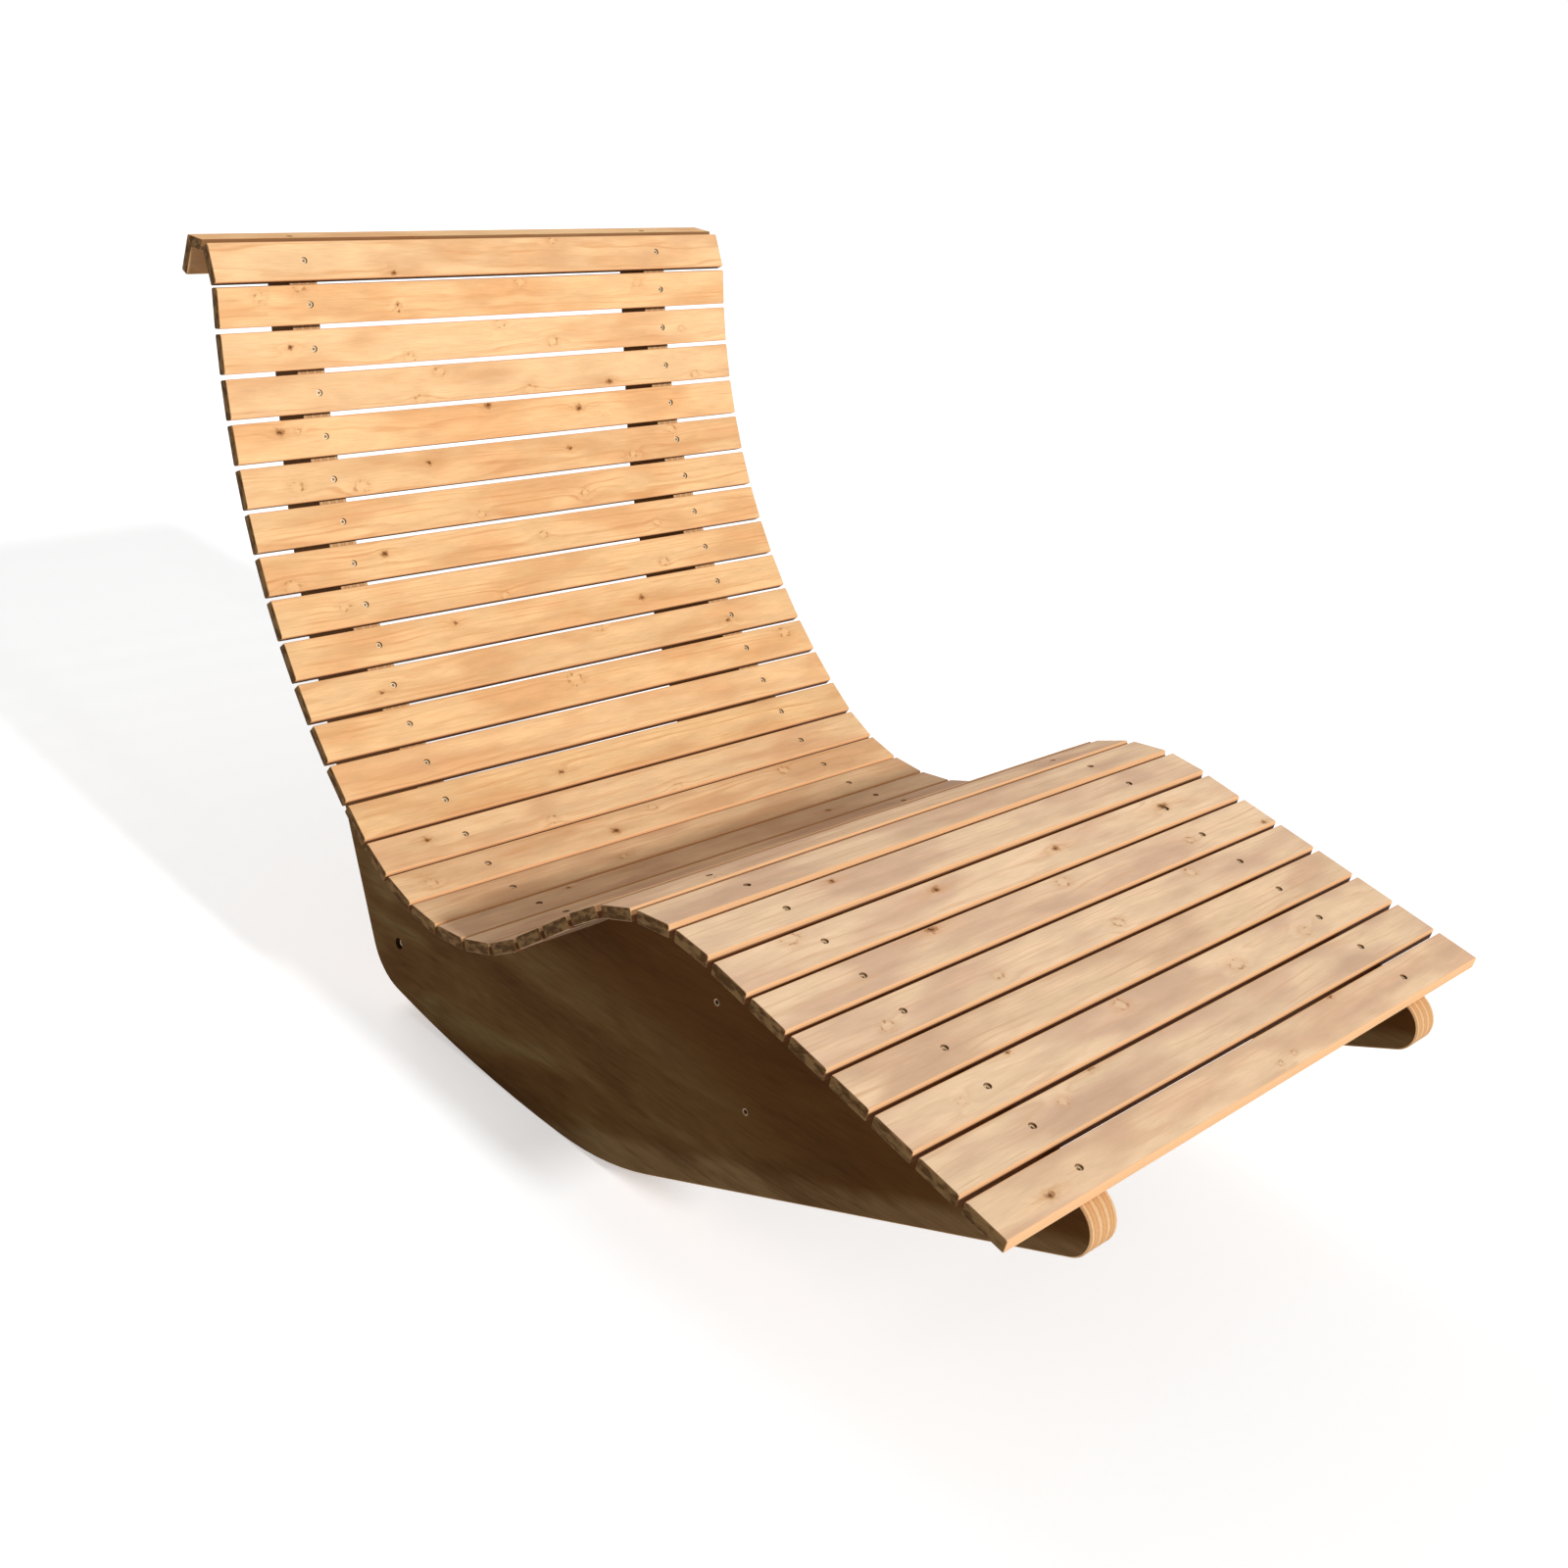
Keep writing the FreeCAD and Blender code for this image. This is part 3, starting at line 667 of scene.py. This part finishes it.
rowNames = sorted(n for n in nodes if n[:5] == "slat_" and n[5:].isdigit())
rowNames = ["head_back_slat", "head_cap_slat"] + rowNames
for row, name in enumerate(rowNames, -1):
    makeSlat(name, row)
print("slats made:", len(rowNames), "with", len(slatScrews), "screws")


# Steel, yellow zinc plated: pale gold and a little mottled. Glaze has settled in the recesses
# of the slats' screws, light brown. In and on the cheeks' fasteners a dark brown is painted shade.

steel = {
    "plate": {"shades": ("#fff0d0", "#d2b283"), "metallic": 0.35, "roughness": (0.42, 0.6)},
    "settled": {"shades": ("#cfa26c", "#8a6238"), "metallic": 0.0, "roughness": (0.6, 0.85)},
    # painted shade in and on the cheeks' fasteners
    "recessShade": {"shades": ("#3f2812", "#54381c"), "metallic": 0.0, "roughness": (0.6, 0.85)},
    "mottle": {"Scale": 1 / (1.5 * mm), "Detail": 2.0},
    "dulled": (0.35, 0.7), "roughened": (0.3, 0.7),      # levels of that noise
    "crisp": 35,                   # degrees; an edge sharper than this stays crisp
}


def steelMaterial(name, finish):
    material, tree = newMaterial(name)
    place = add(tree, "TexCoord").node.outputs["Object"]
    mottle = add(tree, "TexNoise", Vector=place, **steel["mottle"])
    dulled = add(tree, "MapRange", mottle, *steel["dulled"], **smooth)
    bright, dull = finish["shades"]
    shade = add(tree, "Mix", dulled, colour(bright), colour(dull), **ofColours)
    roughened = (*steel["roughened"], *finish["roughness"])
    roughness = add(tree, "MapRange", mottle, *roughened, **smooth)
    shader = add(tree, "BsdfPrincipled", Base_Color=shade, Metallic=finish["metallic"],
                 Roughness=roughness)
    add(tree, "OutputMaterial", Surface=shader)
    return material


zincSteel = steelMaterial("yellow zinc plated steel", steel["plate"])
paintedRecessShade = steelMaterial("painted recess shade", steel["recessShade"])
settledGlaze = steelMaterial("settled glaze", steel["settled"])


def screwRings(length):
    # recess floor, its wall, the flat of the head, its cone, the shank and the point
    tip = length / mm
    head, shank, recess = screw["head"], screw["shank"], screw["recess"]
    deep, lip = screw["recessDepth"], screw["lip"]
    profile = [
        (screw["floor"], deep), (recess * screw["recessTaper"], deep), (recess, lip),
        (recess + lip, 0.0), *((head + past, down) for past, down in screw["rim"]),
        (shank, head - shank), (shank, tip - 2 * shank), (screw["point"], tip),
    ]

    def lobes(index, angle):
        return 1 + screw["lobe"] * math.cos(6 * angle) if 1 <= index <= 3 else 1

    return turned(profile, screw["sides"], lobes)


def joinedMesh(name, pieces, recessFaces):
    # many small solids as one mesh, from (rings, matrix) pairs; their first faces are the recess
    work = bmesh.new()
    for rings, place in pieces:
        part = skinned("part", rings)
        part.transform(place)
        before = len(work.faces)
        work.from_mesh(part)
        work.faces.ensure_lookup_table()
        for face in work.faces[before:before + recessFaces]:
            face.material_index = 1
        bpy.data.meshes.remove(part)
    mesh = bpy.data.meshes.new(name)
    work.to_mesh(mesh)
    work.free()
    return mesh


def sideFasteners(nodeName):
    # (matrix with Z outward, length) for each fastener driven in from a cheek's outer face
    found = []
    for shell in shellsOf(nodes[nodeName]):
        xs, ys, zs = zip(*shell)
        side = 1 if sum(ys) > 0 else -1
        face = max(y * side for y in ys)
        length = face - min(y * side for y in ys)
        middle = ((max(xs) + min(xs)) / 2, side * face, (max(zs) + min(zs)) / 2)
        outward = Vector((0, side, 0)).to_track_quat("Z", "Y").to_matrix().to_4x4()
        found.append((Matrix.Translation(middle) @ outward, length))
    return found


def sunkBy(depth, places):
    # the same fasteners, seated deeper than they are packed
    down = Matrix.Translation((0, 0, -depth))
    return [(place @ down, length - depth) for place, length in places]


def makeFasteners(nodeName, ringsFor, sides, places, glaze, glazedRings):
    pieces = []
    for place, length in places:
        spin = Matrix.Rotation(draw.uniform(0, math.pi / 3), 4, "Z")
        pieces.append((ringsFor(length), place @ spin))
    mesh = joinedMesh(nodeName, pieces, glazedRings * sides)
    smoothUnder(mesh, steel["crisp"])
    piece = replacement("steel_" + nodeName, mesh, zincSteel, nodeName)
    piece.data.materials.append(glaze)


slatScrews = sunkBy(screw["sunk"], slatScrews)
boardScrews = sideFasteners("board_screws")
recess, wholeHead = screw["recessRings"], screw["recessRings"] + 2     # rings that glaze covers, light brown on the slats' screws; on the cheeks' fasteners they carry painted shade
makeFasteners("slat_screws", screwRings, screw["sides"], slatScrews, settledGlaze, recess)
makeFasteners("board_screws", screwRings, screw["sides"], boardScrews, paintedRecessShade, wholeHead)

bolt = {
    "head": 6.5, "headHeight": 5.0, "shank": 4.0, "point": 0.5,
    "rim": ((-0.7, 0.0), (-0.2, 0.2), (0.0, 0.7)),       # steps past the head's radius, and down
    "socket": 3.46, "socketDepth": 3.2, "lip": (0.3, 0.25), "floor": 0.3,
    "sides": 48, "socketRings": 2,
    "sunk": 3.0 * mm,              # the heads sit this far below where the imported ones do
}


def boltRings(length):
    # a cap screw with a six-sided socket and an eased rim
    tip = length / mm
    head, high, shank = bolt["head"], bolt["headHeight"], bolt["shank"]
    socket, deep, (lip, lipDepth) = bolt["socket"], bolt["socketDepth"], bolt["lip"]
    profile = [
        (bolt["floor"], deep), (socket, deep), (socket, lipDepth), (socket + lip, 0.0),
        *((head + past, down) for past, down in bolt["rim"]), (head, high),
        (shank, high), (shank, tip - bolt["point"]), (shank - bolt["point"], tip),
    ]

    def sixSided(index, angle):
        if not 1 <= index <= 3:
            return 1
        return math.cos(math.pi / 6) / math.cos((angle % (math.pi / 3)) - math.pi / 6)

    return turned(profile, bolt["sides"], sixSided)


railBolts = sunkBy(bolt["sunk"], sideFasteners("rail_bolts"))
makeFasteners("rail_bolts", boltRings, bolt["sides"], railBolts, paintedRecessShade, bolt["socketRings"])
print("screws and bolts made")


# Plywood, sanded and glazed: a brown veneer with long soft streaks and clouds, and edges that
# show pale and browner plies in turn, parted by thin dark glue lines.

plywood = {
    "face": "#6f4f29", "faceDark": "#4c2d10", "facePale": "#7f6740",
    "plyPale": "#e6b988", "plyBrown": "#dba672", "glue": "#8f5028",
    "ply": 6 * mm,
    # noises, with a Scale of one over their real size
    "clouds": {"Scale": 1 / (70 * mm), "Detail": 3.0, "Distortion": 0.6},
    "bends": {"Scale": 0.6 / (70 * mm), "Detail": 1.0},
    "streaks": {"Scale": 1 / (7 * mm), "Detail": 3.0, "Roughness": 0.6},
    # real fibres are finer, and are drawn coarser so that they show
    "fibres": {"Scale": 1 / (1.4 * mm), "Detail": 2.0},
    "wobble": {"Scale": 1 / (25 * mm), "Detail": 2.0},
    "grainEnds": {"Scale": 1 / (3 * mm), "Detail": 3.0},
    # how fast each pattern changes along the grain, as a share of its rate across it
    "cloudsAlong": 0.28, "streaksAlong": 0.06, "fibresAlong": 0.04,
    "grainEndsThrough": 3,         # and this one through the sheet
    "bendDepth": 63 * mm,          # how far the streaks bend
    "cutFrom": (2, 9),             # each sheet's own place along the pattern, in m
    "relief": {"Strength": 0.35, "Distance": 0.12 * mm}, "shine": 0.06,
    # fades: where each one starts and ends, and the share that it starts and ends with
    "paleClouds": (0.52, 0.30, 0.0, 1.0),
    "darkClouds": (0.45, 0.72, 0.0, 0.5),
    "darkStreaks": (0.40, 0.75, 0.0, 0.34),
    "darkFibres": (0.35, 0.70, -0.12, 0.2),
    "plyWobble": (0.30, 0.70, -0.06, 0.06),        # in plies
    "mottle": (0.30, 0.70, 0.86, 1.06),
    "glueLine": (0.7 / 6, 0.03, 0.0, 0.55),        # by the distance from it, in plies
    "facing": (0.6, 0.9, 0.0, 1.0),
    "matt": (0.30, 0.70, 0.62, 0.8),               # roughness of the smoothest and roughest veneer
    # painted shade, browner under the slats, and painted light, paler along the front run: a line's
    # point and the way off it, how the tone fades over that distance, and how far the clouds move
    # it
    "lightZones": (
        {"tone": "#5d3813", "start": (0.178, 0, 0.368), "off": (-0.199, 0, -0.980),
         "fade": (45 * mm, 210 * mm, 0.85, 0.0), "clouded": (0.3, 0.7, -30 * mm, 30 * mm)},
        {"tone": "#8e714c", "start": (0.284, 0, 0.084), "off": (-0.359, 0, 0.933),
         "fade": (34 * mm, 56 * mm, 0.65, 0.0), "clouded": (0.3, 0.7, -4.5 * mm, 4.5 * mm)},
    ),
    "boreShade": "#3a2410", "boreRadius": 8.7 * mm,     # painted shade in the bolts' counterbores
}


def plywoodMaterial(name, outward, inner, grain, paintedLight=False):
    # a sheet that faces outward, whose inner face is this far from the origin
    material, tree = newMaterial("glazed plywood, " + name)
    place = add(tree, "TexCoord").node.outputs["Object"]
    crosswise = Vector(grain).cross(Vector(outward))
    along = add(tree, "VectorMath", place, grain, operation="DOT_PRODUCT")
    across = add(tree, "VectorMath", place, crosswise, operation="DOT_PRODUCT")
    through = add(tree, "VectorMath", place, outward, operation="DOT_PRODUCT")

    # the veneer: streaks and clouds drawn out along the grain
    sheet = add(tree, "CombineXYZ", along, across, through)
    cutFrom = (draw.uniform(*plywood["cutFrom"]), 0, 0)
    sheet = add(tree, "VectorMath", sheet, cutFrom, operation="ADD")
    long = add(tree, "Mapping", Vector=sheet, Scale=(plywood["cloudsAlong"], 1, 1))
    clouds = add(tree, "TexNoise", Vector=long, **plywood["clouds"])
    bends = add(tree, "TexNoise", Vector=long, **plywood["bends"])
    swirl = add(tree, "Math", bends, plywood["bendDepth"], across, operation="MULTIPLY_ADD")
    slow = add(tree, "Math", along, plywood["streaksAlong"], operation="MULTIPLY")
    streakAt = add(tree, "CombineXYZ", slow, swirl)
    streaks = add(tree, "TexNoise", Vector=streakAt, **plywood["streaks"])
    fine = add(tree, "Mapping", Vector=sheet, Scale=(plywood["fibresAlong"], 1, 1))
    fibres = add(tree, "TexNoise", Vector=fine, **plywood["fibres"])
    pale = add(tree, "MapRange", clouds, *plywood["paleClouds"], **smooth)
    face, facePale = colour(plywood["face"]), colour(plywood["facePale"])
    veneer = add(tree, "Mix", pale, face, facePale, **ofColours)
    # painted shade under the slats and painted light along the front run
    for zone in plywood["lightZones"] if paintedLight else ():
        off = add(tree, "VectorMath", place, zone["start"], operation="SUBTRACT")
        off = add(tree, "VectorMath", off, zone["off"], operation="DOT_PRODUCT")
        clouded = add(tree, "MapRange", clouds, *zone["clouded"])
        off = add(tree, "Math", off, clouded, operation="ADD")
        share = add(tree, "MapRange", off, *zone["fade"], **smooth)
        veneer = add(tree, "Mix", share, veneer, colour(zone["tone"]), **ofColours)
    darkness = add(tree, "MapRange", fibres, *plywood["darkFibres"])
    for pattern, fade in ((streaks, "darkStreaks"), (clouds, "darkClouds")):
        share = add(tree, "MapRange", pattern, *plywood[fade], **smooth)
        darkness = add(tree, "Math", darkness, share, operation="ADD")
    veneer = add(tree, "Mix", darkness, veneer, colour(plywood["faceDark"]), **ofColours)

    # the edge: how far through the thickness, in plies, and every other one browner
    wobble = add(tree, "TexNoise", Vector=place, **plywood["wobble"])
    wobble = add(tree, "MapRange", wobble, *plywood["plyWobble"])
    ply = add(tree, "Math", through, inner, operation="SUBTRACT")
    ply = add(tree, "Math", ply, plywood["ply"], operation="DIVIDE")
    ply = add(tree, "Math", ply, wobble, operation="ADD")
    second = add(tree, "Math", ply, 0.5, operation="MULTIPLY")
    second = add(tree, "Math", second, operation="FRACT")
    second = add(tree, "Math", second, 0.5, operation="GREATER_THAN")
    plyPale, plyBrown = colour(plywood["plyPale"]), colour(plywood["plyBrown"])
    edge = add(tree, "Mix", second, plyPale, plyBrown, **ofColours)
    thin = add(tree, "Mapping", Vector=sheet, Scale=(1, 1, plywood["grainEndsThrough"]))
    mottle = add(tree, "TexNoise", Vector=thin, **plywood["grainEnds"])
    mottle = add(tree, "MapRange", mottle, *plywood["mottle"])
    edge = add(tree, "VectorMath", edge, mottle, operation="SCALE")
    toGlue = add(tree, "Math", ply, 0.5, operation="ADD")
    toGlue = add(tree, "Math", toGlue, operation="FRACT")
    toGlue = add(tree, "Math", toGlue, 0.5, operation="SUBTRACT")
    toGlue = add(tree, "Math", toGlue, operation="ABSOLUTE")
    share = add(tree, "MapRange", toGlue, *plywood["glueLine"], **smooth)
    edge = add(tree, "Mix", share, edge, colour(plywood["glue"]), **ofColours)

    normal = add(tree, "NewGeometry").node.outputs["Normal"]
    facing = add(tree, "VectorMath", normal, outward, operation="DOT_PRODUCT")
    facing = add(tree, "Math", facing, operation="ABSOLUTE")
    facing = add(tree, "MapRange", facing, *plywood["facing"], **smooth)
    shade = add(tree, "Mix", facing, edge, veneer, **ofColours)
    # painted shade in the counterbore round the rail bolt
    if paintedLight:
        boltAt = railBolts[0][0].translation
        away = add(tree, "VectorMath", place, boltAt, operation="SUBTRACT")
        away = add(tree, "VectorMath", away, (1, 0, 1), operation="MULTIPLY")
        away = add(tree, "VectorMath", away, operation="LENGTH")
        bored = add(tree, "Math", away, plywood["boreRadius"], operation="LESS_THAN")
        shade = add(tree, "Mix", bored, shade, colour(plywood["boreShade"]), **ofColours)
    roughness = add(tree, "MapRange", fibres, *plywood["matt"])
    relief = add(tree, "Bump", Height=fibres, **plywood["relief"])
    shader = add(tree, "BsdfPrincipled", Base_Color=shade, Roughness=roughness, Normal=relief,
                 Specular_IOR_Level=plywood["shine"])
    add(tree, "OutputMaterial", Surface=shader)
    return material


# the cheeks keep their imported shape, shaded smooth along its curves

cheek = {
    "innerFace": 0.2925, "grain": (1, 0, 0.04),
    "crisp": 28,                   # degrees; an edge sharper than this stays crisp
}


def makeCheek(name, side):
    mesh = nodes[name].data.copy()
    mesh.materials.clear()
    work = bmesh.new()
    work.from_mesh(mesh)
    bmesh.ops.remove_doubles(work, verts=work.verts, dist=samePoint)
    work.to_mesh(mesh)
    work.free()
    grain = Vector(cheek["grain"]).normalized()
    material = plywoodMaterial(name, (0, side, 0), cheek["innerFace"], grain, True)
    piece = replacement("plywood_" + name, mesh, material, name)
    smoothUnder(piece.data, cheek["crisp"])


makeCheek("cheek_left", 1)
makeCheek("cheek_right", -1)
print("cheeks made")


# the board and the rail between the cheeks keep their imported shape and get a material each

def widestFace(node):
    return max(node.data.polygons, key=lambda face: face.area)


def setMaterial(node, material):
    for held in node.material_slots:
        held.material = material


outward = widestFace(nodes["knee_board"]).normal.copy()
inner = min(outward.dot(v.co) for v in nodes["knee_board"].data.vertices)
setMaterial(nodes["knee_board"], plywoodMaterial("knee_board", outward, inner, (0, 1, 0)))

heelRail = {"paleness": 0.3}
outward = widestFace(nodes["heel_rail"]).normal.copy()
points = [v.co for v in nodes["heel_rail"].data.vertices]
middle = sum(points, Vector()) / len(points)
heights = [outward.dot(p - middle) for p in points]
half = max(outward.cross(Vector((0, 1, 0))).dot(p - middle) for p in points)
back, thickness = middle + outward * min(heights), max(heights) - min(heights)
lean = math.atan2(outward.x, outward.z)
paleness = heelRail["paleness"]
railSpruce = spruceMaterial("heel_rail", half, thickness, paleness, middle=back, lean=lean)
setMaterial(nodes["heel_rail"], railSpruce)
print("board and rail finished")


# pale floor, even light from all round, a low soft lamp from the foot end as in the photograph,
# and a softer one from behind the head end

studio = {
    "fill": 0.30,
    # lamps: degrees above the floor, degrees round from the foot end, degrees of softness, W/m2
    "lamps": {"key": (26, -2, 4, 2.35), "back lamp": (42, 176, 25, 1.0)},
    "floor": "#f1f1f1", "floorGlow": 0.47, "floorReach": 60.0,
}

world = bpy.data.worlds.new("studio")
bpy.context.scene.world = world
world.use_nodes = True
tree = world.node_tree
tree.nodes.clear()
path = add(tree, "LightPath").node.outputs
white = add(tree, "Math", path["Is Camera Ray"], path["Is Glossy Ray"], operation="MAXIMUM")
white = add(tree, "Math", white, path["Is Transmission Ray"], operation="MAXIMUM")
level = add(tree, "MapRange", white, 0.0, 1.0, studio["fill"], 1.0)
add(tree, "OutputWorld", Surface=add(tree, "Background", (1, 1, 1, 1), level))

for name, (height, side, softness, power) in studio["lamps"].items():
    lamp = bpy.data.lights.new(name, "SUN")
    lamp.energy = power
    lamp.angle = math.radians(softness)
    linked(name, lamp).rotation_euler = (0, math.radians(90 - height), math.radians(side))

far = studio["floorReach"]
floorMesh = bpy.data.meshes.new("floor")
corners = [(-far, -far, 0), (far, -far, 0), (far, far, 0), (-far, far, 0)]
floorMesh.from_pydata(corners, [], [(0, 1, 2, 3)])
floor = linked("floor", floorMesh)
material, tree = newMaterial("pale matt floor")
matt = add(tree, "BsdfDiffuse", Color=colour(studio["floor"]))
glow = add(tree, "Emission", Strength=studio["floorGlow"])
glowing = add(tree, "AddShader", matt, glow)
seen = add(tree, "LightPath").node.outputs["Is Camera Ray"]
add(tree, "OutputMaterial", Surface=add(tree, "MixShader", seen, matt, glowing))
floorMesh.materials.append(material)
bpy.context.scene.view_settings.view_transform = "Standard"
print("floor and light set")
